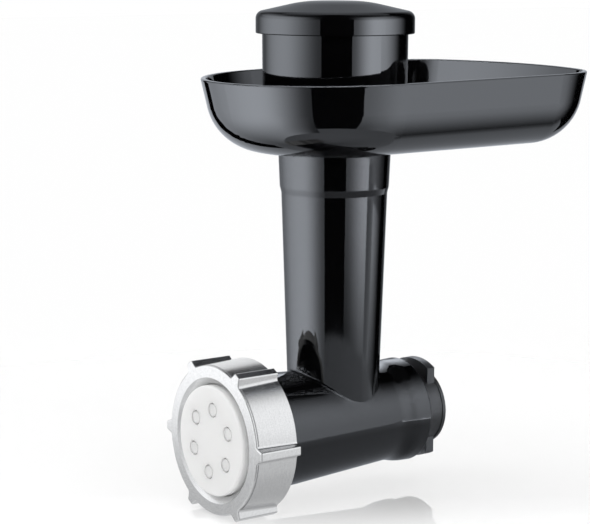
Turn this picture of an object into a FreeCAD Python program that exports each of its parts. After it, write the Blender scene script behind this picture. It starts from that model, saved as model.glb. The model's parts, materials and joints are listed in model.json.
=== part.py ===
import FreeCAD, Part
import os
import Sketcher
from math import asin, atan, cos, degrees, pi, radians, sin, sqrt

# Pasta press attachment for a stand mixer, in millimetres. The origin is the middle of the rear end of the
# bayonet spigot. +Y points back into the mixer, the die faces -Y and +Z is up. Lengths along the barrel are
# written as a depth in front of the origin, so that they are positive numbers.

doc = FreeCAD.newDocument("PastaPress")
sheet = doc.addObject("Spreadsheet::Sheet", "Sizes")

SIZES = [
    ("tube_depth", 53.9, "from the spigot's end to the feed tube's axis"),
    ("clearance", 0.3, "gap between pieces that move apart"),
    ("running_gap", 0.05, "radial gap of a running fit"),
    ("snug_gap", 0.05, "gap between pieces that stay together"),
    ("press_gap", 0.02, "radial gap of a press fit"),
    ("hole_gap", 0.2, "radial gap of a screw hole"),
    ("end_room", 0.1, "room at the blind end of a hole"),
    ("wall", 2.6, "wall of the housing"),
    # Bayonet coupling
    ("spigot_r", 18.1, "plain end of the spigot, which enters the mixer first"),
    ("spigot_plain", 1.7, "plain end, along the barrel"),
    ("spigot_neck_r", 17.7, "spigot between the plain end and the seam"),
    ("seat_depth", 14.3, "seam between the coupling and the housing"),
    ("lug_r", 23.7, "outside of the bayonet lugs"),
    ("lug_rear_depth", 2.2, "rear face of the lugs"),
    ("lug_thick", 4.3, "lugs, along the barrel"),
    ("lug_half_width", 11.9, "lugs, across the barrel"),
    ("lug_foot_r", 12.1, "root of the lugs inside the spigot"),
    ("lug_round", 0.5, "edges of the lugs' ends"),
    ("lug_count", 2, "bayonet lugs"),
    ("flange_r", 20.0, "coupling flange inside the barrel"),
    ("flange_front_depth", 19.0, "front face of the flange"),
    ("gasket_thick", 1.0, "gasket in front of the flange"),
    ("web_thick", 4.0, "wall between the coupling and the dough chamber"),
    ("web_bore_r", 6.2, "hole in that wall for the shaft"),
    ("bush_r", 7.0, "outside of the rear bush"),
    ("bush_rear_depth", 3.0, "rear end of the bush"),
    ("bush_chamfer", 0.5, "rear edge of the bush"),
    ("seal_r", 9.5, "pocket of the shaft seal"),
    ("seal_depth", 4.0, "pocket of the shaft seal, along the barrel"),
    ("seal_band", 1.2, "outer band and rear wall of the seal"),
    ("seal_taper", 0.4, "slant of band and lip"),
    ("seal_groove", 2.2, "groove of the seal, from the shaft"),
    ("seal_lip", 0.9, "lip of the seal"),
    ("seal_heel", 0.6, "seal's rear edge, from the lip"),
    ("gasket_inset", 0.6, "gasket inside the flange's edges"),
    ("screw_pcd_r", 13.4, "circle of the coupling screws"),
    ("screw_r", 1.5, "shank of a coupling screw"),
    ("screw_head_r", 2.8, "head of a coupling screw"),
    ("screw_head_tall", 2.4, "head of a coupling screw"),
    ("screw_long", 22.0, "whole screw"),
    ("screw_count", 3, "coupling screws"),
    ("screw_sink", 0.3, "heads below the spigot's end"),
    ("recess_deep", 1.3, "crossed recess of a screw"),
    ("recess_wide", 0.7, "crossed recess of a screw"),
    ("recess_long", 3.0, "crossed recess of a screw"),
    ("screw_crown", 0.5, "rounded edge of a screw's head"),
    # Barrel
    ("rim_r", 24.6, "rear rim at the seam"),
    ("rim_round", 0.5, "edge of the rear rim"),
    ("flare_r", 24.3, "where the flare ends"),
    ("flare_depth", 21.0, "where the flare ends"),
    ("flare_round", 20.0, "both bends of the flare"),
    ("waist_r", 22.7, "slimmest part of the barrel"),
    ("waist_depth", 28.0, "slimmest part of the barrel"),
    ("neck_r", 27.1, "barrel where it leaves the ring nut"),
    ("neck_depth", 100.7, "rear edge of the ring nut"),
    ("head_r", 31.3, "core of the threaded head"),
    ("head_rear_depth", 104.0, "rear end of the threaded head"),
    ("head_front_depth", 112.6, "front face of the threaded head"),
    ("chamber_rear_r", 19.8, "dough chamber at the web"),
    ("chamber_front_r", 24.2, "dough chamber at the die"),
    ("die_seat_r", 29.3, "recess for the die"),
    ("die_seat_deep", 4.2, "recess for the die"),
    ("key_half_width", 2.2, "keys that stop the die from turning"),
    ("key_r", 27.6, "inner face of the keys"),
    ("key_sink", 0.8, "root of the keys inside the wall"),
    ("key_count", 2, "keys"),
    ("notch_r", 27.2, "floor of the die's key notches"),
    # Thread of head and nut
    ("thread_pitch", 4.0, "lead of the thread"),
    ("thread_tall", 1.1, "height of a thread ridge"),
    ("thread_root", 1.6, "width of a ridge at its root"),
    ("thread_tip", 1.0, "width of a ridge at its tip"),
    ("thread_turns", 1.5, "turns of the ridge on the head"),
    ("nut_thread_turns", 1.6, "turns of the ridge in the nut"),
    ("thread_sink", 0.3, "root of a ridge inside its wall"),
    ("thread_start", 1.6, "first ridge of the head, from the head's rear end"),
    ("nut_thread_start", -0.4, "first ridge of the nut, from the same place"),
    # Feed tube
    ("joint_round", 1.2, "hollow between the tube and the barrel"),
    ("tube_root_r", 20.7, "tube at the barrel's axis"),
    ("tube_top_r", 24.28, "tube below the collar"),
    ("tube_top", 107.2, "height of the collar's step"),
    ("collar_r", 25.0, "collar above its step"),
    ("collar_low", 110.1, "top of the collar's step"),
    ("step_round", 2.0, "upper bend of the collar's step"),
    ("collar_mouth_r", 25.7, "collar at its mouth"),
    ("collar_top", 126.1, "mouth of the collar"),
    ("mouth_round", 0.8, "edge of the collar's mouth"),
    ("socket_r", 23.0, "socket inside the collar"),
    ("socket_mouth_r", 23.3, "socket just above the mouth"),
    ("socket_low", 110.7, "floor of the socket"),
    # Ring nut and die
    ("nut_front_depth", 121.8, "front face of the ring nut"),
    ("nut_front_r", 33.9, "skirt at the front"),
    ("nut_rear_r", 34.9, "skirt at the rear"),
    ("nut_window_r", 25.4, "window round the die's boss"),
    ("nut_bevel_r", 28.5, "outer edge of the bevel round the window"),
    ("nut_bevel_deep", 3.1, "bevel round the window"),
    ("nut_shoulder_depth", 116.6, "inner face that holds the die"),
    ("nut_bore_r", 32.7, "bore of the skirt"),
    ("nut_edge_round", 0.7, "outer edge of the front face"),
    ("panel_line_depth", 120.8, "fine groove across each panel, behind the front face"),
    ("panel_line_wide", 0.6, "fine groove across each panel"),
    ("panel_line_deep", 0.6, "fine groove across each panel"),
    ("panel_line_deg", 46.0, "how far that groove runs round the skirt"),
    ("grip_r", 37.7, "tips of the grip lugs"),
    ("grip_root_half", 3.4, "half width of a grip lug at its root"),
    ("grip_tip_half", 1.9, "half width of a grip lug at its tip"),
    ("grip_root_r", 33.3, "root of a grip lug inside the skirt"),
    ("grip_round", 0.8, "edges of a grip lug's tip"),
    ("grip_hollow", 1.6, "hollow between a grip lug and the skirt"),
    ("grip_count", 6, "grip lugs"),
    ("die_boss_r", 25.0, "boss of the die"),
    ("boss_round", 1.1, "front edge of the boss"),
    ("die_front_depth", 122.9, "front face of the die"),
    ("die_flange_r", 31.3, "flange of the die"),
    ("die_flange_depth", 116.3, "front face of the flange"),
    ("die_flange_thick", 3.4, "flange of the die"),
    ("die_spigot_r", 29.0, "spigot behind the flange"),
    ("die_rear_depth", 108.9, "rear face of the die"),
    ("die_cavity_r", 22.0, "hollow of the die"),
    ("die_face_thick", 6.0, "front wall of the die"),
    ("slot_circle_r", 14.5, "circle of the pasta slots"),
    ("slot_outer_r", 3.4, "outer wall of a slot"),
    ("slot_pin_r", 2.7, "pin in a slot"),
    ("slot_count", 6, "pasta slots"),
    ("slot_start_deg", 23.5, "first slot, up from +X"),
    ("pin_sink", 1.0, "root of the pins inside the core plate"),
    ("pin_set_back", 0.2, "pins behind the die's face"),
    ("core_r", 21.95, "core plate of the die"),
    ("core_thick", 3.6, "core plate of the die"),
    ("core_hub_r", 6.0, "hub of the core plate"),
    ("core_hub_depth", 116.4, "front end of the hub"),
    ("nose_room", 0.4, "room in front of the nose pin"),
    ("flow_r", 3.4, "dough holes of the core plate"),
    # Auger
    ("shaft_r", 5.0, "drive shaft"),
    ("shaft_front_depth", 70.0, "end of the shaft inside the auger"),
    ("tang_side", 7.0, "square end of the shaft"),
    ("tang_depth", 1.5, "start of the square end"),
    ("tang_out", 7.0, "square end behind the spigot's end"),
    ("washer_r", 12.0, "thrust washer"),
    ("washer_thick", 1.0, "thrust washer"),
    ("auger_rear_depth", 25.4, "rear face of the auger"),
    ("auger_front_depth", 105.0, "front face of the auger"),
    ("auger_rear_r", 9.5, "core of the auger at the rear"),
    ("auger_front_r", 11.0, "core of the auger at the front"),
    ("flight_gap", 0.8, "between the flight and the chamber"),
    ("flight_pitch", 25.0, "pitch of the flight"),
    ("flight_root_half", 2.4, "half width of the flight at its root"),
    ("flight_tip_half", 1.5, "half width of the flight at its tip"),
    ("flight_turns", 2.9, "turns of the flight"),
    ("flight_start", 3.0, "first section of the flight, from the auger's rear face"),
    ("flight_sink", 3.0, "root of the flight inside the core"),
    ("drive_pin_r", 2.0, "cross pin through auger and shaft"),
    ("drive_pin_depth", 48.0, "cross pin, along the barrel"),
    ("drive_pin_long", 17.0, "cross pin"),
    ("nose_r", 3.0, "nose pin"),
    ("nose_rear_depth", 88.0, "end of the nose pin inside the auger"),
    ("nose_front_depth", 115.4, "front end of the nose pin"),
    ("nose_point", 0.8, "chamfer of the nose pin"),
    # Feed tray, in plan about the feed tube's axis
    ("tray_front_r", 61.2, "round front of the rim"),
    ("tray_back", 115.2, "rear edge of the rim"),
    ("tray_back_r", 150.0, "bow of the rear edge"),
    ("tray_corner_r", 29.0, "rear corners of the rim"),
    ("tray_flare_deg", 5.6, "how far each side opens to the rear"),
    ("tray_rim", 160.3, "height of the rim"),
    ("tray_deep", 33.4, "rim to the underside of the floor"),
    ("tray_slope_deg", 1.1, "rise of the whole tray to the rear"),
    ("tray_draft_deg", 12.4, "lean of the walls"),
    ("tray_wall", 2.4, "wall of the tray"),
    ("tray_round", 25.5, "rounding between wall and floor"),
    ("tray_rim_round", 0.8, "both edges of the rim"),
    ("spout_r", 22.6, "outside of the spout"),
    ("spout_bore_r", 21.1, "bore of the spout"),
    ("spout_low", 111.2, "lower end of the spout"),
    # Pusher
    ("plunger_low_r", 18.4, "plunger at its lower end"),
    ("plunger_top_r", 20.3, "plunger below the head"),
    ("plunger_low", 24.6, "lower end of the plunger"),
    ("plunger_round", 1.5, "lower edge of the plunger"),
    ("plunger_wall", 2.0, "wall of the plunger"),
    ("pusher_head_low", 130.3, "underside of the head"),
    ("pusher_head_low_r", 32.8, "head at its lower end"),
    ("pusher_head_r", 33.1, "head below the cap"),
    ("pusher_head_top", 184.0, "upper edge of the head"),
    ("pusher_wall", 2.2, "wall of the head"),
    ("cap_r", 36.05, "cap"),
    ("cap_low", 179.5, "lower edge of the cap"),
    ("cap_skirt_top", 189.0, "where the cap's dome starts"),
    ("cap_round", 3.6, "shoulder of the cap"),
    ("cap_crown_r", 14.0, "flat middle of the dome"),
    ("cap_top", 194.0, "top of the cap"),
    ("cap_crown_round", 60.0, "bend from the dome to its flat middle"),
    ("cap_thick", 2.4, "wall of the cap"),
    ("cap_skirt_bore_r", 33.5, "inside of the cap's skirt"),
    ("cap_plug_r", 30.4, "ring that centres the cap in the head"),
    ("cap_plug_low", 177.0, "lower edge of that ring"),
    ("cap_plug_wall", 1.6, "wall of that ring"),
    ("cap_inner_edge", 187.4, "underside of the dome at that ring"),
    ("cap_edge_round", 0.5, "lower edge of the cap"),
]


class Dim:
    """A sheet value, or a sum worked out from some: its expression and its number now."""

    def __init__(self, text, number):
        self.text = text
        self.number = number

    def joined(self, other, sign, number, swapped=False):
        other_text = other.text if isinstance(other, Dim) else repr(float(other))
        pair = (other_text, self.text) if swapped else (self.text, other_text)
        return Dim("(%s %s %s)" % (pair[0], sign, pair[1]), number)

    def __add__(self, other):
        return self.joined(other, "+", self.number + number_of(other))

    def __sub__(self, other):
        return self.joined(other, "-", self.number - number_of(other))

    def __rsub__(self, other):
        return self.joined(other, "-", number_of(other) - self.number, swapped=True)

    def __mul__(self, other):
        return self.joined(other, "*", self.number * number_of(other))

    def __truediv__(self, other):
        return self.joined(other, "/", self.number / number_of(other))

    def __neg__(self):
        return Dim("(0 - %s)" % self.text, -self.number)


def number_of(value):
    return value.number if isinstance(value, Dim) else value


SIZE = {}
for row, (alias, value, note) in enumerate(SIZES, start=1):
    sheet.set("A%d" % row, alias)
    sheet.set("B%d" % row, str(value))
    sheet.set("C%d" % row, note)
    sheet.setAlias("B%d" % row, alias)
    SIZE[alias] = Dim("Sizes." + alias, value)
doc.recompute()

ZERO = Dim("0", 0.0)
FULL_TURN = 360.0
# How far a cutter passes the face that it cuts, and how near two places count as the same.
PAST = 1.0
NEAR = 0.02
FACING_FRONT = FreeCAD.Rotation(FreeCAD.Vector(1, 0, 0), 180)
LEVEL = FreeCAD.Rotation()
PIECES = []

# A barrel sketch has the radius along X and the depth towards the front, a tube sketch has the radius along X
# and the height along Z, and a cross sketch lies across the barrel at a depth.


def new_body(name):
    body = doc.addObject("PartDesign::Body", name)
    body.Label = name
    PIECES.append(body)
    return body


def origin_feature(body, role):
    return [feature for feature in body.Origin.OriginFeatures if feature.Role == role][0]


def new_sketch(body, name, role, turn=LEVEL):
    sketch = body.newObject("Sketcher::SketchObject", name)
    sketch.AttachmentSupport = [(origin_feature(body, role), "")]
    sketch.MapMode = "FlatFace"
    sketch.AttachmentOffset = FreeCAD.Placement(FreeCAD.Vector(), turn)
    return sketch


def shift(sketch, axis, amount):
    sketch.setExpression(".AttachmentOffset.Base." + axis, amount.text)


def barrel_sketch(body, name):
    return new_sketch(body, name, "XY_Plane", FACING_FRONT)


def tube_sketch(body, name):
    sketch = new_sketch(body, name, "XZ_Plane")
    shift(sketch, "z", SIZE["tube_depth"])
    return sketch


def cross_sketch(body, name, depth):
    sketch = new_sketch(body, name, "XZ_Plane")
    shift(sketch, "z", depth)
    return sketch


def bind(sketch, constraint, size):
    index = sketch.addConstraint(constraint)
    sketch.setExpression("Constraints[%d]" % index, size.text)


def pin_point(sketch, edge, end, across, up):
    """Hold one end of an edge at a place given by two sizes."""
    if across.number == 0:
        sketch.addConstraint(Sketcher.Constraint("PointOnObject", edge, end, -2))
    else:
        bind(sketch, Sketcher.Constraint("DistanceX", edge, end, across.number), across)
    if up.number == 0:
        sketch.addConstraint(Sketcher.Constraint("PointOnObject", edge, end, -1))
    else:
        bind(sketch, Sketcher.Constraint("DistanceY", edge, end, up.number), up)


def outline(sketch, corners):
    """Close a polygon whose corners are pairs of sizes."""
    places = [FreeCAD.Vector(across.number, up.number, 0) for across, up in corners]
    first = sketch.GeometryCount
    for index, place in enumerate(places):
        following = places[(index + 1) % len(places)]
        sketch.addGeometry(Part.LineSegment(place, following))
    for index in range(len(places)):
        following = (index + 1) % len(places)
        sketch.addConstraint(Sketcher.Constraint("Coincident", first + index, 2, first + following, 1))
    for index, (across, up) in enumerate(corners):
        pin_point(sketch, first + index, 1, across, up)


def circle(sketch, across, up, radius):
    place = FreeCAD.Vector(across.number, up.number, 0)
    edge = sketch.addGeometry(Part.Circle(place, FreeCAD.Vector(0, 0, 1), radius.number))
    pin_point(sketch, edge, 3, across, up)
    bind(sketch, Sketcher.Constraint("Radius", edge, radius.number), radius)


def feature(body, kind, name, sketch):
    made = body.newObject("PartDesign::" + kind, name)
    made.Profile = sketch
    return made


def turned(body, kind, name, sketch, corners):
    """Turn a closed outline about its sketch's upright axis, to add (Revolution) or to cut (Groove)."""
    outline(sketch, corners)
    made = feature(body, kind, name, sketch)
    made.ReferenceAxis = (sketch, ["V_Axis"])
    made.Angle = FULL_TURN
    doc.recompute()
    return made


def padded(body, name, sketch, length, to_rear=False):
    made = feature(body, "Pad", name, sketch)
    made.setExpression("Length", length.text)
    made.Reversed = to_rear
    doc.recompute()
    return made


def cut_both_ways(body, name, sketch, length):
    """Cut a pocket of a whole length, half to each side of its sketch."""
    made = feature(body, "Pocket", name, sketch)
    made.setExpression("Length", length.text)
    made.Midplane = True
    before = body.Shape.Volume
    doc.recompute()
    if body.Shape.Volume >= before:
        raise RuntimeError(name + " cuts nothing")
    return made


def ring_of(body, name, original, axis_role, count):
    pattern = body.newObject("PartDesign::PolarPattern", name)
    pattern.Originals = [original]
    pattern.Axis = (origin_feature(body, axis_role), [""])
    pattern.Angle = FULL_TURN
    pattern.setExpression("Occurrences", count.text)
    body.Tip = pattern
    doc.recompute()
    return pattern


def helix_of(body, name, sketch, corners, pitch, turns, cone_deg=0.0):
    outline(sketch, corners)
    made = feature(body, "AdditiveHelix", name, sketch)
    made.ReferenceAxis = (sketch, ["V_Axis"])
    made.Mode = "pitch-turns-angle"
    made.setExpression("Pitch", pitch.text)
    made.setExpression("Turns", turns.text)
    made.Angle = cone_deg
    doc.recompute()
    return made


def rounded(body, name, keep, radius):
    """Round the edges of the piece so far that keep() accepts."""
    base = body.Tip
    names = ["Edge%d" % number for number, edge in enumerate(base.Shape.Edges, start=1) if keep(edge)]
    if not names:
        raise RuntimeError(name + " finds no edge")
    made = body.newObject("PartDesign::Fillet", name)
    made.Base = (base, names)
    made.setExpression("Radius", radius.text)
    doc.recompute()
    return made


def is_ring(edge, radius, axis, place):
    """A whole or part circle of a radius about the barrel's (y) or the tube's (z) direction."""
    if not isinstance(edge.Curve, Part.Circle):
        return False
    same_radius = abs(edge.Curve.Radius - number_of(radius)) < NEAR
    return same_radius and abs(getattr(edge.Curve.Center, axis) - number_of(place)) < NEAR


def barrel_ring(radius, depth):
    return lambda edge: is_ring(edge, radius, "y", -number_of(depth))


def tube_ring(radius, height):
    return lambda edge: is_ring(edge, radius, "z", height)


# Bayonet coupling and what it holds


def make_bayonet_coupling():
    body = new_body("bayonet_coupling")
    seal_floor = SIZE["flange_front_depth"] - SIZE["seal_depth"]
    turned(body, "Revolution", "spigot", barrel_sketch(body, "spigot_profile"), [
        (SIZE["bush_r"], ZERO),
        (SIZE["spigot_r"], ZERO),
        (SIZE["spigot_r"], SIZE["spigot_plain"]),
        (SIZE["spigot_neck_r"], SIZE["spigot_plain"]),
        (SIZE["spigot_neck_r"], SIZE["seat_depth"]),
        (SIZE["flange_r"], SIZE["seat_depth"]),
        (SIZE["flange_r"], SIZE["flange_front_depth"]),
        (SIZE["seal_r"], SIZE["flange_front_depth"]),
        (SIZE["seal_r"], seal_floor),
        (SIZE["bush_r"], seal_floor),
    ])
    sketch = cross_sketch(body, "lug_profile", SIZE["lug_rear_depth"])
    reach = SIZE["lug_r"].number
    half_angle = asin(SIZE["lug_half_width"].number / reach)
    half = SIZE["lug_half_width"].number
    shoulder = reach * cos(half_angle)
    foot = SIZE["lug_foot_r"].number
    arc = Part.ArcOfCircle(Part.Circle(FreeCAD.Vector(), FreeCAD.Vector(0, 0, 1), reach),
                           pi / 2 - half_angle, pi / 2 + half_angle)
    sketch.addGeometry(arc)
    sketch.addGeometry(Part.LineSegment(FreeCAD.Vector(-half, shoulder, 0), FreeCAD.Vector(-half, foot, 0)))
    sketch.addGeometry(Part.LineSegment(FreeCAD.Vector(-half, foot, 0), FreeCAD.Vector(half, foot, 0)))
    sketch.addGeometry(Part.LineSegment(FreeCAD.Vector(half, foot, 0), FreeCAD.Vector(half, shoulder, 0)))
    for edge, following in ((0, 1), (1, 2), (2, 3)):
        sketch.addConstraint(Sketcher.Constraint("Coincident", edge, 2, following, 1))
    sketch.addConstraint(Sketcher.Constraint("Coincident", 3, 2, 0, 1))
    sketch.addConstraint(Sketcher.Constraint("Coincident", 0, 3, -1, 1))
    sketch.addConstraint(Sketcher.Constraint("Vertical", 1))
    sketch.addConstraint(Sketcher.Constraint("Vertical", 3))
    bind(sketch, Sketcher.Constraint("Radius", 0, reach), SIZE["lug_r"])
    pin_point(sketch, 2, 1, -SIZE["lug_half_width"], SIZE["lug_foot_r"])
    pin_point(sketch, 2, 2, SIZE["lug_half_width"], SIZE["lug_foot_r"])
    lug = padded(body, "lug", sketch, SIZE["lug_thick"])
    ring_of(body, "lugs", lug, "Y_Axis", SIZE["lug_count"])

    def ends_a_lug(edge):
        middle = edge.CenterOfMass
        along = abs(edge.Length - SIZE["lug_thick"].number) < NEAR
        return along and abs(abs(middle.x) - half) < NEAR and abs(abs(middle.z) - shoulder) < NEAR

    rounded(body, "lug_ends", ends_a_lug, SIZE["lug_round"])
    # The screws are put in from the rear, with their heads sunk in the spigot's end.
    head_room = SIZE["screw_sink"] + SIZE["screw_head_tall"] + SIZE["end_room"]
    holes = (
        ("screw_hole", SIZE["screw_r"] + SIZE["hole_gap"], SIZE["flange_front_depth"] + PAST),
        ("screw_counterbore", SIZE["screw_head_r"] + SIZE["hole_gap"], head_room),
    )
    for name, radius, depth in holes:
        hole_sketch = cross_sketch(body, name + "_profile", ZERO)
        circle(hole_sketch, ZERO, SIZE["screw_pcd_r"], radius)
        hole = cut_both_ways(body, name, hole_sketch, depth * 2)
        ring_of(body, name + "s", hole, "Y_Axis", SIZE["screw_count"])


def make_rear_bush():
    body = new_body("rear_bush")
    rear = SIZE["bush_rear_depth"]
    front = SIZE["flange_front_depth"] - SIZE["seal_depth"]
    inner = SIZE["shaft_r"] + SIZE["running_gap"]
    outer = SIZE["bush_r"] - SIZE["press_gap"]
    chamfer = SIZE["bush_chamfer"]
    turned(body, "Revolution", "bush", barrel_sketch(body, "bush_profile"), [
        (inner, rear),
        (outer - chamfer, rear),
        (outer, rear + chamfer),
        (outer, front),
        (inner, front),
    ])


def make_shaft_seal():
    body = new_body("shaft_seal")
    rear = SIZE["flange_front_depth"] - SIZE["seal_depth"] + SIZE["end_room"]
    front = SIZE["flange_front_depth"] - SIZE["end_room"]
    lip = SIZE["shaft_r"] + SIZE["running_gap"]
    outer = SIZE["seal_r"] - SIZE["press_gap"]
    band = SIZE["seal_band"]
    taper = SIZE["seal_taper"]
    turned(body, "Revolution", "seal", barrel_sketch(body, "seal_profile"), [
        (outer, rear),
        (outer, front),
        (outer - band, front),
        (outer - band - taper, rear + band),
        (SIZE["shaft_r"] + SIZE["seal_groove"], rear + band),
        (lip + SIZE["seal_lip"], front),
        (lip, front - taper),
        (lip + SIZE["seal_heel"], rear),
    ])


def make_coupling_gasket():
    body = new_body("coupling_gasket")
    rear = SIZE["flange_front_depth"] + SIZE["press_gap"]
    front = SIZE["flange_front_depth"] + SIZE["gasket_thick"] - SIZE["press_gap"]
    inner = SIZE["seal_r"] + SIZE["gasket_inset"]
    outer = SIZE["flange_r"] - SIZE["gasket_inset"]
    turned(body, "Revolution", "gasket", barrel_sketch(body, "gasket_profile"), [
        (inner, rear),
        (outer, rear),
        (outer, front),
        (inner, front),
    ])
    sketch = cross_sketch(body, "screw_hole_profile", SIZE["flange_front_depth"])
    circle(sketch, ZERO, SIZE["screw_pcd_r"], SIZE["screw_r"] + SIZE["clearance"])
    hole = cut_both_ways(body, "screw_hole", sketch, (SIZE["gasket_thick"] + PAST) * 2)
    ring_of(body, "screw_holes", hole, "Y_Axis", SIZE["screw_count"])


def make_coupling_screws():
    """Pan-head screws with a crossed recess, as one group."""
    head_rear = -SIZE["screw_sink"].number
    start = FreeCAD.Vector(0, head_rear, 0)
    forward = FreeCAD.Vector(0, -1, 0)
    head = Part.makeCylinder(SIZE["screw_head_r"].number, SIZE["screw_head_tall"].number, start, forward)
    rear_edge = [edge for edge in head.Edges if abs(edge.CenterOfMass.y - head_rear) < NEAR]
    head = head.makeFillet(SIZE["screw_crown"].number, rear_edge)
    shank = Part.makeCylinder(SIZE["screw_r"].number, SIZE["screw_long"].number, start, forward)
    screw = head.fuse(shank)
    deep = SIZE["recess_deep"].number
    wide = SIZE["recess_wide"].number
    long = SIZE["recess_long"].number
    for across, up in ((long, wide), (wide, long)):
        corner = FreeCAD.Vector(-across / 2, head_rear - deep, -up / 2)
        screw = screw.cut(Part.makeBox(across, deep + PAST, up, corner))
    screws = []
    count = int(SIZE["screw_count"].number)
    circle_r = SIZE["screw_pcd_r"].number
    for number in range(count):
        angle = pi / 2 + number * 2 * pi / count
        copy = screw.copy()
        copy.translate(FreeCAD.Vector(circle_r * cos(angle), 0, circle_r * sin(angle)))
        screws.append(copy)
    group = doc.addObject("Part::Feature", "coupling_screws")
    group.Label = "coupling_screws"
    group.Shape = Part.makeCompound(screws)
    PIECES.append(group)


# Housing


def make_press_housing():
    body = new_body("press_housing")
    pocket_front = SIZE["flange_front_depth"] + SIZE["gasket_thick"]
    web_front = pocket_front + SIZE["web_thick"]
    die_seat = SIZE["head_front_depth"] - SIZE["die_seat_deep"]
    turned(body, "Revolution", "barrel", barrel_sketch(body, "barrel_profile"), [
        (ZERO, SIZE["seat_depth"]),
        (SIZE["rim_r"], SIZE["seat_depth"]),
        (SIZE["flare_r"], SIZE["flare_depth"]),
        (SIZE["waist_r"], SIZE["waist_depth"]),
        (SIZE["neck_r"], SIZE["neck_depth"]),
        (SIZE["head_r"], SIZE["head_rear_depth"]),
        (SIZE["head_r"], SIZE["head_front_depth"]),
        (ZERO, SIZE["head_front_depth"]),
    ])
    rounded(body, "flare_end", barrel_ring(SIZE["flare_r"], SIZE["flare_depth"]), SIZE["flare_round"])
    rounded(body, "flare_start", barrel_ring(SIZE["waist_r"], SIZE["waist_depth"]), SIZE["flare_round"])
    rounded(body, "rim_edge", barrel_ring(SIZE["rim_r"], SIZE["seat_depth"]), SIZE["rim_round"])
    turned(body, "Revolution", "feed_tube", tube_sketch(body, "feed_tube_profile"), [
        (ZERO, ZERO),
        (SIZE["tube_root_r"], ZERO),
        (SIZE["tube_top_r"], SIZE["tube_top"]),
        (SIZE["collar_r"], SIZE["collar_low"]),
        (SIZE["collar_mouth_r"], SIZE["collar_top"]),
        (ZERO, SIZE["collar_top"]),
    ])
    rounded(body, "collar_step", tube_ring(SIZE["collar_r"], SIZE["collar_low"]), SIZE["step_round"])
    rounded(body, "collar_edge", tube_ring(SIZE["collar_mouth_r"], SIZE["collar_top"]), SIZE["mouth_round"])

    def joins_tube_and_barrel(edge):
        box = edge.BoundBox
        low = box.ZMin > 0 and box.ZMax < SIZE["head_r"].number
        return low and not isinstance(edge.Curve, (Part.Circle, Part.Line))

    rounded(body, "tube_foot", joins_tube_and_barrel, SIZE["joint_round"])
    turned(body, "Groove", "chamber", barrel_sketch(body, "chamber_profile"), [
        (ZERO, SIZE["seat_depth"] - PAST),
        (SIZE["flange_r"] + SIZE["snug_gap"], SIZE["seat_depth"] - PAST),
        (SIZE["flange_r"] + SIZE["snug_gap"], pocket_front),
        (SIZE["web_bore_r"], pocket_front),
        (SIZE["web_bore_r"], web_front),
        (SIZE["chamber_rear_r"], web_front),
        (SIZE["chamber_front_r"], die_seat),
        (SIZE["die_seat_r"], die_seat),
        (SIZE["die_seat_r"], SIZE["head_front_depth"] + PAST),
        (ZERO, SIZE["head_front_depth"] + PAST),
    ])
    turned(body, "Groove", "feed_bore", tube_sketch(body, "feed_bore_profile"), [
        (ZERO, ZERO),
        (SIZE["tube_root_r"] - SIZE["wall"], ZERO),
        (SIZE["tube_top_r"] - SIZE["wall"], SIZE["socket_low"]),
        (SIZE["socket_r"], SIZE["socket_low"]),
        (SIZE["socket_mouth_r"], SIZE["collar_top"] + PAST),
        (ZERO, SIZE["collar_top"] + PAST),
    ])
    key_sketch = cross_sketch(body, "die_key_profile", die_seat)
    outline(key_sketch, [
        (SIZE["key_r"], -SIZE["key_half_width"]),
        (SIZE["die_seat_r"] + SIZE["key_sink"], -SIZE["key_half_width"]),
        (SIZE["die_seat_r"] + SIZE["key_sink"], SIZE["key_half_width"]),
        (SIZE["key_r"], SIZE["key_half_width"]),
    ])
    key = padded(body, "die_key", key_sketch, SIZE["die_seat_deep"])
    ring_of(body, "die_keys", key, "Y_Axis", SIZE["key_count"])
    screw_sketch = cross_sketch(body, "screw_pilot_profile", pocket_front)
    circle(screw_sketch, ZERO, SIZE["screw_pcd_r"], SIZE["screw_r"] + SIZE["press_gap"])
    pilot = cut_both_ways(body, "screw_pilot", screw_sketch, (SIZE["web_thick"] - PAST) * 2)
    ring_of(body, "screw_pilots", pilot, "Y_Axis", SIZE["screw_count"])
    thread_start = SIZE["head_rear_depth"] + SIZE["thread_start"]
    helix_of(body, "thread", barrel_sketch(body, "thread_profile"), [
        (SIZE["head_r"] - SIZE["thread_sink"], thread_start - SIZE["thread_root"] / 2),
        (SIZE["head_r"] + SIZE["thread_tall"], thread_start - SIZE["thread_tip"] / 2),
        (SIZE["head_r"] + SIZE["thread_tall"], thread_start + SIZE["thread_tip"] / 2),
        (SIZE["head_r"] - SIZE["thread_sink"], thread_start + SIZE["thread_root"] / 2),
    ], SIZE["thread_pitch"], SIZE["thread_turns"])


# Ring nut and die


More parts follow.
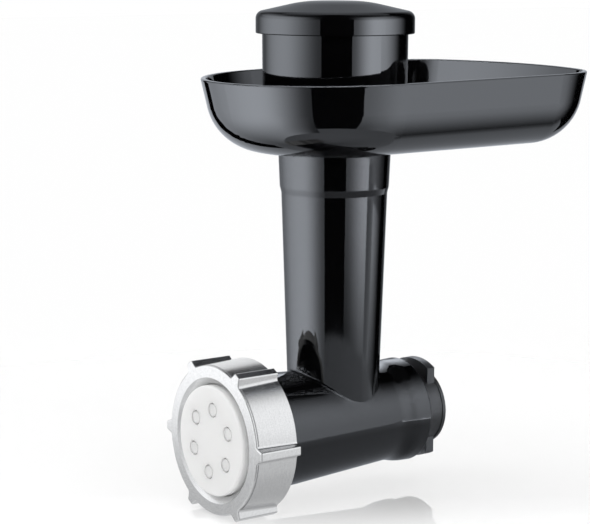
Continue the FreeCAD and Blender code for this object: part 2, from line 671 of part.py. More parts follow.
def make_ring_nut():
    body = new_body("ring_nut")
    turned(body, "Revolution", "skirt", barrel_sketch(body, "skirt_profile"), [
        (SIZE["nut_bore_r"], SIZE["neck_depth"]),
        (SIZE["nut_rear_r"], SIZE["neck_depth"]),
        (SIZE["nut_front_r"], SIZE["nut_front_depth"]),
        (SIZE["nut_bevel_r"], SIZE["nut_front_depth"]),
        (SIZE["nut_window_r"], SIZE["nut_front_depth"] - SIZE["nut_bevel_deep"]),
        (SIZE["nut_window_r"], SIZE["nut_shoulder_depth"]),
        (SIZE["nut_bore_r"], SIZE["nut_shoulder_depth"]),
    ])
    sketch = cross_sketch(body, "grip_profile", SIZE["neck_depth"])
    root = SIZE["grip_root_r"]
    outline(sketch, [
        (root, -SIZE["grip_root_half"]),
        (SIZE["grip_r"], -SIZE["grip_tip_half"]),
        (SIZE["grip_r"], SIZE["grip_tip_half"]),
        (root, SIZE["grip_root_half"]),
    ])
    grip = padded(body, "grip", sketch, SIZE["nut_front_depth"] - SIZE["neck_depth"])
    ring_of(body, "grips", grip, "Y_Axis", SIZE["grip_count"])
    whole_length = SIZE["nut_front_depth"].number - SIZE["neck_depth"].number
    tip_place = sqrt(SIZE["grip_r"].number ** 2 + SIZE["grip_tip_half"].number ** 2)
    middle_r = (SIZE["nut_front_r"].number + SIZE["nut_rear_r"].number) / 2

    def runs_along(reach, within):
        def keep(edge):
            place = sqrt(edge.CenterOfMass.x ** 2 + edge.CenterOfMass.z ** 2)
            return abs(edge.Length - whole_length) < PAST and abs(place - reach) < within
        return keep

    rounded(body, "grip_tips", runs_along(tip_place, NEAR), SIZE["grip_round"])
    rounded(body, "grip_hollows", runs_along(middle_r, PAST), SIZE["grip_hollow"])
    front = -SIZE["nut_front_depth"].number
    inside_skirt = SIZE["nut_bore_r"].number

    def edges_the_front(edge):
        spot = edge.valueAt(edge.FirstParameter)
        flat = abs(edge.BoundBox.YMin - front) < NEAR and abs(edge.BoundBox.YMax - front) < NEAR
        return flat and sqrt(spot.x ** 2 + spot.z ** 2) > inside_skirt

    rounded(body, "front_edge", edges_the_front, SIZE["nut_edge_round"])
    line_sketch = barrel_sketch(body, "panel_line_profile")
    half_step = FULL_TURN / SIZE["grip_count"].number / 2
    to_panel = FreeCAD.Rotation(FreeCAD.Vector(0, 1, 0), half_step)
    facing = line_sketch.AttachmentOffset.Rotation.multiply(to_panel)
    line_sketch.AttachmentOffset = FreeCAD.Placement(FreeCAD.Vector(), facing)
    line_floor = SIZE["nut_front_r"] - SIZE["panel_line_deep"]
    line_rear = SIZE["panel_line_depth"] - SIZE["panel_line_wide"]
    line = turned(body, "Groove", "panel_line", line_sketch, [
        (line_floor, line_rear),
        (SIZE["grip_r"] + PAST, line_rear),
        (SIZE["grip_r"] + PAST, SIZE["panel_line_depth"]),
        (line_floor, SIZE["panel_line_depth"]),
    ])
    line.Midplane = True
    line.setExpression("Angle", SIZE["panel_line_deg"].text)
    doc.recompute()
    ring_of(body, "panel_lines", line, "Y_Axis", SIZE["grip_count"])
    thread_start = SIZE["head_rear_depth"] + SIZE["nut_thread_start"]
    helix_of(body, "thread", barrel_sketch(body, "thread_profile"), [
        (SIZE["nut_bore_r"] + SIZE["thread_sink"], thread_start - SIZE["thread_root"] / 2),
        (SIZE["nut_bore_r"] - SIZE["thread_tall"], thread_start - SIZE["thread_tip"] / 2),
        (SIZE["nut_bore_r"] - SIZE["thread_tall"], thread_start + SIZE["thread_tip"] / 2),
        (SIZE["nut_bore_r"] + SIZE["thread_sink"], thread_start + SIZE["thread_root"] / 2),
    ], SIZE["thread_pitch"], SIZE["nut_thread_turns"])


def slot_place(number):
    """Where a pasta slot lies: across and up from the barrel's axis."""
    angle = "(Sizes.slot_start_deg + %.1f * 360 / Sizes.slot_count)" % number
    turn = radians(SIZE["slot_start_deg"].number + number * FULL_TURN / SIZE["slot_count"].number)
    radius = SIZE["slot_circle_r"]
    across = Dim("(Sizes.slot_circle_r * cos(%s * 1deg))" % angle, radius.number * cos(turn))
    up = Dim("(Sizes.slot_circle_r * sin(%s * 1deg))" % angle, radius.number * sin(turn))
    return across, up


def make_pasta_die():
    body = new_body("pasta_die")
    flange_rear = SIZE["die_flange_depth"] - SIZE["die_flange_thick"]
    face_rear = SIZE["die_front_depth"] - SIZE["die_face_thick"]
    turned(body, "Revolution", "die", barrel_sketch(body, "die_profile"), [
        (SIZE["die_cavity_r"], SIZE["die_rear_depth"]),
        (SIZE["die_spigot_r"], SIZE["die_rear_depth"]),
        (SIZE["die_spigot_r"], flange_rear),
        (SIZE["die_flange_r"], flange_rear),
        (SIZE["die_flange_r"], SIZE["die_flange_depth"]),
        (SIZE["die_boss_r"], SIZE["die_flange_depth"]),
        (SIZE["die_boss_r"], SIZE["die_front_depth"]),
        (ZERO, SIZE["die_front_depth"]),
        (ZERO, face_rear),
        (SIZE["die_cavity_r"], face_rear),
    ])
    rounded(body, "boss_edge", barrel_ring(SIZE["die_boss_r"], SIZE["die_front_depth"]), SIZE["boss_round"])
    notch_sketch = cross_sketch(body, "key_notch_profile", SIZE["die_rear_depth"])
    notch_half = SIZE["key_half_width"] + SIZE["clearance"]
    outline(notch_sketch, [
        (SIZE["notch_r"], -notch_half),
        (SIZE["die_spigot_r"] + PAST, -notch_half),
        (SIZE["die_spigot_r"] + PAST, notch_half),
        (SIZE["notch_r"], notch_half),
    ])
    notch = cut_both_ways(body, "key_notch", notch_sketch, (flange_rear - SIZE["die_rear_depth"]) * 2)
    ring_of(body, "key_notches", notch, "Y_Axis", SIZE["key_count"])
    slot_sketch = cross_sketch(body, "slot_profile", SIZE["die_front_depth"])
    for number in range(int(SIZE["slot_count"].number)):
        circle(slot_sketch, *slot_place(number), SIZE["slot_outer_r"])
    cut_both_ways(body, "slots", slot_sketch, SIZE["die_face_thick"] * 2 + PAST)


def make_die_core_plate():
    body = new_body("die_core_plate")
    rear = SIZE["die_rear_depth"] + SIZE["clearance"]
    front = rear + SIZE["core_thick"]
    bearing = SIZE["nose_r"] + SIZE["running_gap"]
    turned(body, "Revolution", "plate", barrel_sketch(body, "plate_profile"), [
        (bearing, rear),
        (SIZE["core_r"], rear),
        (SIZE["core_r"], front),
        (SIZE["core_hub_r"], front),
        (SIZE["core_hub_r"], SIZE["core_hub_depth"]),
        (ZERO, SIZE["core_hub_depth"]),
        (ZERO, SIZE["nose_front_depth"] + SIZE["nose_room"]),
        (bearing, SIZE["nose_front_depth"] + SIZE["nose_room"]),
    ])
    pin_sketch = cross_sketch(body, "pin_profile", rear + SIZE["pin_sink"])
    flow_sketch = cross_sketch(body, "flow_profile", rear)
    count = int(SIZE["slot_count"].number)
    for number in range(count):
        circle(pin_sketch, *slot_place(number), SIZE["slot_pin_r"])
        circle(flow_sketch, *slot_place(number + 0.5), SIZE["flow_r"])
    pin_long = SIZE["die_front_depth"] - SIZE["pin_set_back"] - rear - SIZE["pin_sink"]
    padded(body, "pins", pin_sketch, pin_long)
    cut_both_ways(body, "flow_holes", flow_sketch, SIZE["core_thick"] * 2 + PAST)


# Auger


def make_auger():
    body = new_body("auger")
    shaft_bore = SIZE["shaft_r"] + SIZE["press_gap"]
    nose_bore = SIZE["nose_r"] + SIZE["press_gap"]
    turned(body, "Revolution", "core", barrel_sketch(body, "core_profile"), [
        (shaft_bore, SIZE["auger_rear_depth"]),
        (SIZE["auger_rear_r"], SIZE["auger_rear_depth"]),
        (SIZE["auger_front_r"], SIZE["auger_front_depth"]),
        (nose_bore, SIZE["auger_front_depth"]),
        (nose_bore, SIZE["nose_rear_depth"]),
        (ZERO, SIZE["nose_rear_depth"]),
        (ZERO, SIZE["shaft_front_depth"] + SIZE["end_room"]),
        (shaft_bore, SIZE["shaft_front_depth"] + SIZE["end_room"]),
    ])
    web_front = SIZE["flange_front_depth"] + SIZE["gasket_thick"] + SIZE["web_thick"]
    chamber_end = SIZE["head_front_depth"] - SIZE["die_seat_deep"]
    slope = (SIZE["chamber_front_r"] - SIZE["chamber_rear_r"]) / (chamber_end - web_front)
    start = SIZE["auger_rear_depth"] + SIZE["flight_start"]
    tip = SIZE["chamber_rear_r"] - SIZE["flight_gap"] + slope * (start - web_front)
    foot = SIZE["auger_rear_r"] - SIZE["flight_sink"]
    helix_of(body, "flight", barrel_sketch(body, "flight_profile"), [
        (foot, start - SIZE["flight_root_half"]),
        (tip, start - SIZE["flight_tip_half"]),
        (tip, start + SIZE["flight_tip_half"]),
        (foot, start + SIZE["flight_root_half"]),
    ], SIZE["flight_pitch"], SIZE["flight_turns"], degrees(atan(slope.number)))
    pin_sketch = new_sketch(body, "drive_pin_hole_profile", "YZ_Plane")
    circle(pin_sketch, -SIZE["drive_pin_depth"], ZERO, SIZE["drive_pin_r"] + SIZE["press_gap"])
    cut_both_ways(body, "drive_pin_hole", pin_sketch, SIZE["drive_pin_long"] + SIZE["end_room"] * 2)


def make_drive_shaft():
    body = new_body("drive_shaft")
    turned(body, "Revolution", "shaft", barrel_sketch(body, "shaft_profile"), [
        (ZERO, SIZE["tang_depth"]),
        (SIZE["shaft_r"], SIZE["tang_depth"]),
        (SIZE["shaft_r"], SIZE["shaft_front_depth"]),
        (ZERO, SIZE["shaft_front_depth"]),
    ])
    half = SIZE["tang_side"] / 2
    sketch = cross_sketch(body, "tang_profile", SIZE["tang_depth"])
    outline(sketch, [(-half, -half), (half, -half), (half, half), (-half, half)])
    padded(body, "tang", sketch, SIZE["tang_depth"] + SIZE["tang_out"], to_rear=True)
    pin_sketch = new_sketch(body, "drive_pin_hole_profile", "YZ_Plane")
    circle(pin_sketch, -SIZE["drive_pin_depth"], ZERO, SIZE["drive_pin_r"] + SIZE["press_gap"])
    cut_both_ways(body, "drive_pin_hole", pin_sketch, SIZE["drive_pin_long"])


def make_drive_pin():
    body = new_body("drive_pin")
    sketch = new_sketch(body, "pin_profile", "YZ_Plane")
    circle(sketch, -SIZE["drive_pin_depth"], ZERO, SIZE["drive_pin_r"])
    pin = padded(body, "pin", sketch, SIZE["drive_pin_long"])
    pin.Midplane = True
    doc.recompute()


def make_nose_pin():
    body = new_body("nose_pin")
    point = SIZE["nose_point"]
    rear = SIZE["nose_rear_depth"] + SIZE["end_room"]
    turned(body, "Revolution", "pin", barrel_sketch(body, "pin_profile"), [
        (ZERO, rear),
        (SIZE["nose_r"], rear),
        (SIZE["nose_r"], SIZE["nose_front_depth"] - point),
        (SIZE["nose_r"] - point, SIZE["nose_front_depth"]),
        (ZERO, SIZE["nose_front_depth"]),
    ])


def make_thrust_washer():
    body = new_body("thrust_washer")
    front = SIZE["auger_rear_depth"] - SIZE["snug_gap"]
    rear = front - SIZE["washer_thick"]
    turned(body, "Revolution", "washer", barrel_sketch(body, "washer_profile"), [
        (SIZE["shaft_r"] + SIZE["snug_gap"], rear),
        (SIZE["washer_r"], rear),
        (SIZE["washer_r"], front),
        (SIZE["shaft_r"] + SIZE["snug_gap"], front),
    ])


# Feed tray


def sine(angle):
    return Dim("sin(%s * 1deg)" % angle.text, sin(radians(angle.number)))


def cosine(angle):
    return Dim("cos(%s * 1deg)" % angle.text, cos(radians(angle.number)))


def tray_sketch(body, name, drop):
    """A sketch in the tray's own sloping plane, a drop below the rim, about the tube's axis."""
    sketch = new_sketch(body, name, "XY_Plane")
    slope = SIZE["tray_slope_deg"]
    tilt = FreeCAD.Rotation(FreeCAD.Vector(1, 0, 0), slope.number)
    sketch.AttachmentOffset = FreeCAD.Placement(FreeCAD.Vector(), tilt)
    shift(sketch, "y", drop * sine(slope) - SIZE["tube_depth"])
    shift(sketch, "z", SIZE["tray_rim"] - drop * cosine(slope))
    return sketch


def draw_tray_plan(sketch, inset):
    """The tray's plan: round front in two halves, leaning sides, rear corners and a bowed rear edge."""
    lean = SIZE["tray_flare_deg"]
    front_r = SIZE["tray_front_r"] - inset
    corner_r = SIZE["tray_corner_r"] - inset
    back_r = SIZE["tray_back_r"] - inset
    back_centre = SIZE["tray_back"] - SIZE["tray_back_r"]
    # The corner's centre lies one corner radius inside the side and inside the rear arc.
    side_gap = (front_r.number - corner_r.number) / cosine(lean).number
    slope = sine(lean).number / cosine(lean).number
    square = slope ** 2 + 1
    linear = 2 * side_gap * slope - 2 * back_centre.number
    rest = side_gap ** 2 + back_centre.number ** 2 - (back_r.number - corner_r.number) ** 2
    corner_y = (-linear + sqrt(linear ** 2 - 4 * square * rest)) / (2 * square)
    corner_x = side_gap + slope * corner_y
    corner_turn = atan((corner_y - back_centre.number) / corner_x)
    lean_turn = radians(lean.number)

    def arc(across, up, radius, start, end):
        whole = Part.Circle(FreeCAD.Vector(across, up, 0), FreeCAD.Vector(0, 0, 1), radius.number)
        return Part.ArcOfCircle(whole, start, end)

    front_right = arc(0, 0, front_r, -pi / 2, -lean_turn)
    right_corner = arc(corner_x, corner_y, corner_r, -lean_turn, corner_turn)
    rear = arc(0, back_centre.number, back_r, corner_turn, pi - corner_turn)
    left_corner = arc(-corner_x, corner_y, corner_r, pi - corner_turn, pi + lean_turn)
    front_left = arc(0, 0, front_r, pi + lean_turn, 1.5 * pi)
    right_side = Part.LineSegment(front_right.EndPoint, right_corner.StartPoint)
    left_side = Part.LineSegment(left_corner.EndPoint, front_left.StartPoint)
    sketch.addGeometry([front_right, right_side, right_corner, rear, left_corner, left_side, front_left])
    for edge in range(6):
        sketch.addConstraint(Sketcher.Constraint("Tangent", edge, 2, edge + 1, 1))
    sketch.addConstraint(Sketcher.Constraint("Coincident", 6, 2, 0, 1))
    sketch.addConstraint(Sketcher.Constraint("Coincident", 0, 3, -1, 1))
    sketch.addConstraint(Sketcher.Constraint("Coincident", 6, 3, -1, 1))
    sketch.addConstraint(Sketcher.Constraint("PointOnObject", 0, 1, -2))
    sketch.addConstraint(Sketcher.Constraint("PointOnObject", 3, 3, -2))
    for edge, radius in ((0, front_r), (2, corner_r), (3, back_r), (4, corner_r)):
        bind(sketch, Sketcher.Constraint("Radius", edge, radius.number), radius)
    bind(sketch, Sketcher.Constraint("DistanceY", 3, 3, back_centre.number), back_centre)
    side_start = -(front_r * sine(lean))
    bind(sketch, Sketcher.Constraint("DistanceY", 0, 2, side_start.number), side_start)
    bind(sketch, Sketcher.Constraint("DistanceY", 6, 1, side_start.number), side_start)


def draw_tray_wall(sketch):
    """Section of wall and rounding at the tray's front, from the rim down. Returns the floor's inset."""
    draft = SIZE["tray_draft_deg"]
    deep = SIZE["tray_deep"]
    outer_r = SIZE["tray_round"]
    inner_r = outer_r - SIZE["tray_wall"]
    centre_up = outer_r - deep
    floor_inset = (outer_r - centre_up * sine(draft)) / cosine(draft)
    rim_inner = SIZE["tray_wall"] / cosine(draft)

    def wall_end(radius):
        return floor_inset - radius * cosine(draft), centre_up - radius * sine(draft)

    def place(inset, up):
        return inset - SIZE["tray_front_r"], up

    corners = [
        place(ZERO, ZERO),
        place(*wall_end(outer_r)),
        place(floor_inset, -deep),
        place(floor_inset, SIZE["tray_wall"] - deep),
        place(*wall_end(inner_r)),
        place(rim_inner, ZERO),
    ]
    spots = [FreeCAD.Vector(across.number, up.number, 0) for across, up in corners]
    centre = FreeCAD.Vector(floor_inset.number - SIZE["tray_front_r"].number, centre_up.number, 0)
    round_from = pi + radians(draft.number)
    round_to = 1.5 * pi
    for edge in range(6):
        if edge in (1, 3):
            radius = outer_r if edge == 1 else inner_r
            whole = Part.Circle(centre, FreeCAD.Vector(0, 0, 1), radius.number)
            sketch.addGeometry(Part.ArcOfCircle(whole, round_from, round_to))
            bind(sketch, Sketcher.Constraint("Radius", edge, radius.number), radius)
        else:
            sketch.addGeometry(Part.LineSegment(spots[edge], spots[(edge + 1) % 6]))
    # An arc runs against the clock, so the inner one meets its neighbours the other way round.
    joins = ((0, 2, 1, 1), (1, 2, 2, 1), (2, 2, 3, 2), (3, 1, 4, 1), (4, 2, 5, 1), (5, 2, 0, 1))
    for edge, end, following, start in joins:
        sketch.addConstraint(Sketcher.Constraint("Coincident", edge, end, following, start))
    for edge, end, corner in ((0, 1, 0), (0, 2, 1), (2, 1, 2), (2, 2, 3), (4, 1, 4), (4, 2, 5)):
        pin_point(sketch, edge, end, *corners[corner])
    return floor_inset


def make_feed_tray():
    body = new_body("feed_tray")
    wall_sketch = new_sketch(body, "wall_profile", "YZ_Plane")
    tilt = FreeCAD.Rotation(FreeCAD.Vector(0, 0, 1), SIZE["tray_slope_deg"].number)
    wall_sketch.AttachmentOffset = FreeCAD.Placement(FreeCAD.Vector(), tilt)
    shift(wall_sketch, "x", -SIZE["tube_depth"])
    shift(wall_sketch, "y", SIZE["tray_rim"])
    floor_inset = draw_tray_wall(wall_sketch)
    floor_sketch = tray_sketch(body, "floor_plan", SIZE["tray_deep"])
    draw_tray_plan(floor_sketch, floor_inset)
    padded(body, "floor", floor_sketch, SIZE["tray_wall"])
    spout_top = SIZE["tray_rim"] - SIZE["tray_deep"] + SIZE["tray_wall"] / 2
    floor_hole_top = spout_top + SIZE["tray_wall"] * 2
    turned(body, "Revolution", "spout", tube_sketch(body, "spout_profile"), [
        (SIZE["spout_bore_r"] - PAST, SIZE["spout_low"]),
        (SIZE["spout_r"], SIZE["spout_low"]),
        (SIZE["spout_r"], spout_top),
        (SIZE["spout_bore_r"] - PAST, spout_top),
    ])
    turned(body, "Groove", "spout_bore", tube_sketch(body, "spout_bore_profile"), [
        (ZERO, SIZE["spout_low"] - PAST),
        (SIZE["spout_bore_r"], SIZE["spout_low"] - PAST),
        (SIZE["spout_bore_r"], floor_hole_top),
        (ZERO, floor_hole_top),
    ])
    rim_sketch = tray_sketch(body, "rim_path", ZERO)
    draw_tray_plan(rim_sketch, ZERO)
    doc.recompute()
    wall = feature(body, "AdditivePipe", "wall", wall_sketch)
    wall.Spine = (rim_sketch, ["Edge%d" % number for number in range(1, 8)])
    doc.recompute()
    slope = sin(radians(SIZE["tray_slope_deg"].number)) / cos(radians(SIZE["tray_slope_deg"].number))

    def lies_on_the_rim(edge):
        ends = [edge.valueAt(edge.FirstParameter), edge.valueAt(edge.LastParameter), edge.CenterOfMass]
        heights = [spot.z - slope * (spot.y + SIZE["tube_depth"].number) for spot in ends]
        long = edge.Length > SIZE["tray_wall"].number * 2
        return long and all(abs(height - SIZE["tray_rim"].number) < NEAR for height in heights)

    rounded(body, "rim_edges", lies_on_the_rim, SIZE["tray_rim_round"])


# Pusher


def make_pusher_body():
    body = new_body("pusher_body")
    floor_top = SIZE["pusher_head_low"] + SIZE["pusher_wall"]
    turned(body, "Revolution", "pusher", tube_sketch(body, "pusher_profile"), [
        (ZERO, SIZE["plunger_low"]),
        (SIZE["plunger_low_r"], SIZE["plunger_low"]),
        (SIZE["plunger_top_r"], SIZE["pusher_head_low"]),
        (SIZE["pusher_head_low_r"], SIZE["pusher_head_low"]),
        (SIZE["pusher_head_r"], SIZE["cap_low"]),
        (SIZE["pusher_head_r"], SIZE["pusher_head_top"]),
        (SIZE["pusher_head_r"] - SIZE["pusher_wall"], SIZE["pusher_head_top"]),
        (SIZE["pusher_head_low_r"] - SIZE["pusher_wall"], floor_top),
        (SIZE["plunger_top_r"] - SIZE["plunger_wall"], floor_top),
        (SIZE["plunger_low_r"] - SIZE["plunger_wall"], SIZE["plunger_low"] + SIZE["plunger_wall"]),
        (ZERO, SIZE["plunger_low"] + SIZE["plunger_wall"]),
    ])
    lower_edge = tube_ring(SIZE["plunger_low_r"], SIZE["plunger_low"])
    rounded(body, "plunger_edge", lower_edge, SIZE["plunger_round"])


def make_pusher_cap():
    body = new_body("pusher_cap")
    underside = SIZE["pusher_head_top"] + SIZE["clearance"]
    plug_bore = SIZE["cap_plug_r"] - SIZE["cap_plug_wall"]
    turned(body, "Revolution", "cap", tube_sketch(body, "cap_profile"), [
        (SIZE["cap_skirt_bore_r"], SIZE["cap_low"]),
        (SIZE["cap_r"], SIZE["cap_low"]),
        (SIZE["cap_r"], SIZE["cap_skirt_top"]),
        (SIZE["cap_crown_r"], SIZE["cap_top"]),
        (ZERO, SIZE["cap_top"]),
        (ZERO, SIZE["cap_top"] - SIZE["cap_thick"]),
        (SIZE["cap_crown_r"], SIZE["cap_top"] - SIZE["cap_thick"]),
        (plug_bore, SIZE["cap_inner_edge"]),
        (plug_bore, SIZE["cap_plug_low"]),
        (SIZE["cap_plug_r"], SIZE["cap_plug_low"]),
        (SIZE["cap_plug_r"], underside),
        (SIZE["cap_skirt_bore_r"], underside),
    ])
    rounded(body, "shoulder", tube_ring(SIZE["cap_r"], SIZE["cap_skirt_top"]), SIZE["cap_round"])
    rounded(body, "crown", tube_ring(SIZE["cap_crown_r"], SIZE["cap_top"]), SIZE["cap_crown_round"])
    rounded(body, "skirt_edge", tube_ring(SIZE["cap_r"], SIZE["cap_low"]), SIZE["cap_edge_round"])


def check_pieces():
    for thing in doc.Objects:
        if "Invalid" in thing.State or "Error" in thing.State:
            raise RuntimeError("%s is %s" % (thing.Name, thing.State))
    for piece in PIECES:
        if piece.Shape.isNull() or not piece.Shape.isValid():
            raise RuntimeError(piece.Label + " has no valid shape")


def write_pieces():
    os.makedirs("parts", exist_ok=True)
    for piece in PIECES:
        piece.Shape.exportStep("parts/%s.step" % piece.Label)
        print("%-20s %2d solid(s) %10.1f mm3" % (piece.Label, len(piece.Shape.Solids), piece.Shape.Volume))


make_bayonet_coupling()
make_rear_bush()
make_shaft_seal()
make_coupling_gasket()
make_coupling_screws()
make_press_housing()
make_ring_nut()
make_pasta_die()
make_die_core_plate()
make_auger()
make_drive_shaft()
make_drive_pin()
make_nose_pin()
make_thrust_washer()
make_feed_tray()
make_pusher_body()
make_pusher_cap()
doc.recompute()
check_pieces()
write_pieces()
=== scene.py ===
import json
from math import cos, radians, sin

import bpy
from mathutils import Matrix, Vector

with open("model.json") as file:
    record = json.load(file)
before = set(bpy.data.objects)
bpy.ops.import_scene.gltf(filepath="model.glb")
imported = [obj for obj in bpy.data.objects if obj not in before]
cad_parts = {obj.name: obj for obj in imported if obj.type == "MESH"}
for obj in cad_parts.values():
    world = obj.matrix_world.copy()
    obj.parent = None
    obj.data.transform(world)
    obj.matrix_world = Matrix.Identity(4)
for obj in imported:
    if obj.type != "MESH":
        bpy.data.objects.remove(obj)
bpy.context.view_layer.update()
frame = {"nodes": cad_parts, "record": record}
scene = bpy.context.scene
cadNodes = frame["nodes"]

shot = {
    "place": (0.70221, -0.59748, 0.21557),
    "around": 53.411,     # degrees round the feed tube, from straight in front of the die
    "above": 9.027,
    "roll": 0.166,
    "lens": 118.98,
    "sensor": 36,         # millimetres, as the lens
    "farthest": 20,
}


def setCamera():
    around = radians(shot["around"])
    above = radians(shot["above"])
    roll = radians(shot["roll"])
    back = Vector((sin(around) * cos(above), -cos(around) * cos(above), sin(above)))
    right = Vector((cos(around), sin(around), 0))
    up = back.cross(right)
    sideways = right * cos(roll) + up * sin(roll)
    upright = up * cos(roll) - right * sin(roll)
    data = bpy.data.cameras.new("photoCamera")
    data.sensor_width = shot["sensor"]
    data.sensor_fit = "HORIZONTAL"
    data.lens = shot["lens"]
    data.clip_end = shot["farthest"]
    camera = bpy.data.objects.new("photoCamera", data)
    turn = Matrix((sideways, upright, back)).transposed().to_4x4()
    camera.matrix_world = Matrix.Translation(shot["place"]) @ turn
    scene.collection.objects.link(camera)
    scene.camera = camera


setCamera()
scene.view_settings.view_transform = "Standard"
print("camera set")


class Wire:     # an output socket; sums on it add Math nodes
    def __init__(self, board, socket):
        self.board = board
        self.socket = socket

    def maths(self, operation, first, second):
        return self.board.add("ShaderNodeMath", {"operation": operation}, {0: first, 1: second})

    def __add__(self, other):
        return self.maths("ADD", self, other)

    def __radd__(self, other):
        return self.maths("ADD", other, self)

    def __sub__(self, other):
        return self.maths("SUBTRACT", self, other)

    def __rsub__(self, other):
        return self.maths("SUBTRACT", other, self)

    def __mul__(self, other):
        return self.maths("MULTIPLY", self, other)

    def __rmul__(self, other):
        return self.maths("MULTIPLY", other, self)

    def __pow__(self, other):
        return self.maths("POWER", self, other)

    def __rpow__(self, other):
        return self.maths("POWER", other, self)


class Board:    # a node tree being wired
    def __init__(self, tree):
        self.tree = tree
        tree.nodes.clear()

    def add(self, kind, settings=None, values=None, out=0):
        node = self.tree.nodes.new(kind)
        for key, value in (settings or {}).items():
            setattr(node, key, value)
        for key, value in (values or {}).items():
            if isinstance(value, Wire):
                self.tree.links.new(value.socket, node.inputs[key])
            else:
                node.inputs[key].default_value = value
        return Wire(self, node.outputs[out]) if len(node.outputs) else None


def newFinish(name):
    material = bpy.data.materials.new(name)
    material.use_nodes = True
    return material, Board(material.node_tree)


def closeFinish(board, values):
    shader = board.add("ShaderNodeBsdfPrincipled", None, values)
    board.add("ShaderNodeOutputMaterial", None, {"Surface": shader})


def tint(board, mask, dark, light):
    settings = {"data_type": "RGBA"}
    values = {0: mask, 6: (*dark, 1), 7: (*light, 1)}       # 6, 7 and 2 are the node's colour sockets
    return board.add("ShaderNodeMix", settings, values, out=2)


def noise(board, place, scale, detail, rough=0.5):
    values = {"Vector": place, "Scale": scale, "Detail": detail, "Roughness": rough}
    return board.add("ShaderNodeTexNoise", None, values)


def bump(board, height, strength, distance):
    values = {"Strength": strength, "Distance": distance, "Height": height}
    return board.add("ShaderNodeBump", None, values)


def objectPlace(board):
    return board.add("ShaderNodeTexCoord", None, None, out="Object")


glossBlack = {
    "dark": (0.0010, 0.0010, 0.0012),
    "light": (0.0020, 0.0020, 0.0023),
    "flowScale": 22,        # faint flow marks of the moulding
    "flowDetail": 3.0,
    "peelScale": 260,       # slight waviness of a moulded gloss skin
    "peelDetail": 1.0,
    "peelStrength": 0.5,
    "peelDepth": 0.0000035,
    "hazeScale": 70,
    "hazeDetail": 4.0,
    "hazeRough": 0.6,
    "smooth": 0.028,
    "haze": 0.03,
    "bending": 1.5,
}


def glossBlackFinish():
    want = glossBlack
    material, board = newFinish("glossBlackPlastic")
    place = objectPlace(board)
    flow = noise(board, place, want["flowScale"], want["flowDetail"])
    haze = noise(board, place, want["hazeScale"], want["hazeDetail"], want["hazeRough"])
    peel = noise(board, place, want["peelScale"], want["peelDetail"])
    closeFinish(board, {
        "Base Color": tint(board, flow, want["dark"], want["light"]),
        "Roughness": want["smooth"] + want["haze"] * haze * haze,
        "IOR": want["bending"],
        "Normal": bump(board, peel, want["peelStrength"], want["peelDepth"]),
    })
    return material


satinBlack = {
    "dark": (0.014, 0.014, 0.015),
    "light": (0.026, 0.026, 0.027),
    "cloudScale": 60,
    "cloudDetail": 3.0,
    "grainScale": 2600,
    "grainDetail": 2.0,
    "grainStrength": 0.4,
    "grainDepth": 0.00003,
    "rough": 0.3,
    "roughCloud": 0.12,
}


def satinBlackFinish():
    want = satinBlack
    material, board = newFinish("satinBlackPlastic")
    place = objectPlace(board)
    cloud = noise(board, place, want["cloudScale"], want["cloudDetail"])
    grain = noise(board, place, want["grainScale"], want["grainDetail"])
    closeFinish(board, {
        "Base Color": tint(board, cloud, want["dark"], want["light"]),
        "Roughness": want["rough"] + want["roughCloud"] * cloud,
        "Normal": bump(board, grain, want["grainStrength"], want["grainDepth"]),
    })
    return material


def turnedPlace(board, along, around):
    # stretches a noise round the barrel's axis, as lathe tools and brushes leave it
    place = objectPlace(board)
    parts = [board.add("ShaderNodeSeparateXYZ", None, {0: place}, out=index) for index in range(3)]
    across, depth, height = parts
    reach = (across * across + height * height) ** 0.5
    turn = board.add("ShaderNodeMath", {"operation": "ARCTAN2"}, {0: height, 1: across})
    return board.add("ShaderNodeCombineXYZ", None, {0: reach * along, 1: depth * along, 2: turn * around})


latheLines = {
    "detail": 3.0,
    "rough": 0.6,
    "streak": 4.0,
    "strength": 0.3,
    "depth": 0.00001,
    "roughLines": 0.14,
}

satinAluminium = {
    "dark": (0.68, 0.684, 0.688),
    "light": (0.89, 0.892, 0.895),
    "lines": 2200,
    "streak": 5.0,
    "castScale": 1400,      # the fine speckle of the casting
    "castDetail": 3.0,
    "cloudScale": 45,
    "cloudDetail": 2.0,
    "grainLines": 0.6,      # shares of the three in the colour, less an even part
    "grainCast": 0.9,
    "grainCloud": 0.2,
    "grainEven": 0.35,
    "heightLines": 0.7,
    "heightCast": 0.3,
    "strength": 0.35,
    "lineDepth": 0.000012,
    "rough": 0.17,
    "roughLines": 0.09,
    "roughCloud": 0.05,
}


def satinAluminiumFinish():
    want = satinAluminium
    material, board = newFinish("satinAluminium")
    turned = turnedPlace(board, want["lines"], want["streak"])
    lines = noise(board, turned, 1.0, latheLines["detail"], latheLines["rough"])
    cast = noise(board, objectPlace(board), want["castScale"], want["castDetail"])
    cloud = noise(board, objectPlace(board), want["cloudScale"], want["cloudDetail"])
    grain = lines * want["grainLines"] + cast * want["grainCast"]
    grain = grain + cloud * want["grainCloud"] - want["grainEven"]
    height = lines * want["heightLines"] + cast * want["heightCast"]
    closeFinish(board, {
        "Base Color": tint(board, grain, want["dark"], want["light"]),
        "Metallic": 1.0,
        "Roughness": want["rough"] + want["roughLines"] * lines + want["roughCloud"] * cloud,
        "Normal": bump(board, height, want["strength"], want["lineDepth"]),
    })
    return material


mouldedSkin = {
    "cloudScale": 35,
    "cloudDetail": 3.0,
    "grainDetail": 2.0,
    "grainStrength": 0.3,
    "roughCloud": 0.1,
    "glowDepth": 0.006,     # how far light spreads under the skin of a pale plastic
}

